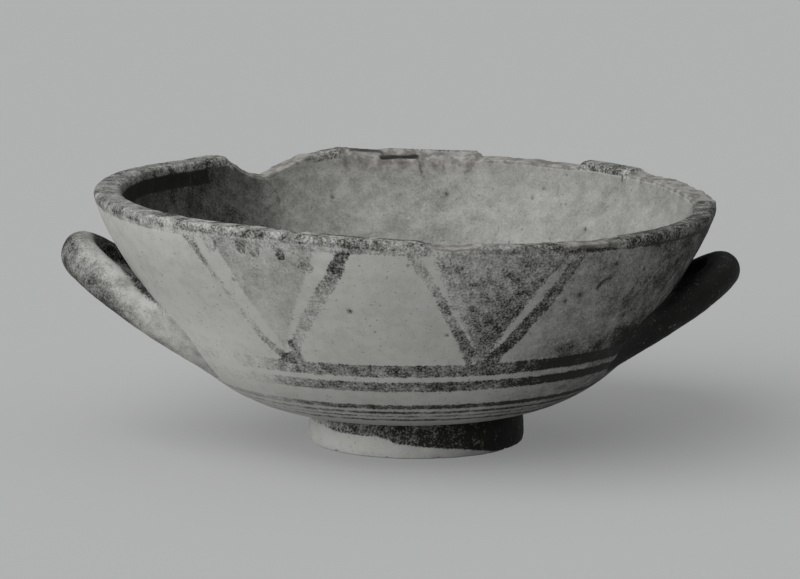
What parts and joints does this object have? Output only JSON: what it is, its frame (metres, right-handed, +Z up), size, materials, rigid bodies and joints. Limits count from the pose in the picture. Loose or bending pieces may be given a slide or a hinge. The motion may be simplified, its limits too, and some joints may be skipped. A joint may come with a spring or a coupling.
{
  "type": "two-handled footed cup",
  "caption": "Wide shallow drinking cup of fired clay on a low foot ring, with two loop handles low on the wall, painted triangles and bands, and a chipped lip.",
  "frame": {"origin": "middle of the foot ring's flat resting face, on the table", "axes": "+Z up, +X to the right of someone who faces the painted front, from handle to handle, +Y away from them"},
  "size_m": [0.2286, 0.2072, 0.0866],
  "materials": {
    "painted_clay": "matt fired clay with worn dark slip bands",
    "handle_clay": "matt fired clay with a worn dark slip wash"
  },
  "bodies": {
    "root": {"bowl": "painted_clay", "foot_ring": "painted_clay", "handle_left": "handle_clay", "handle_right": "handle_clay"}
  },
  "joints": []
}
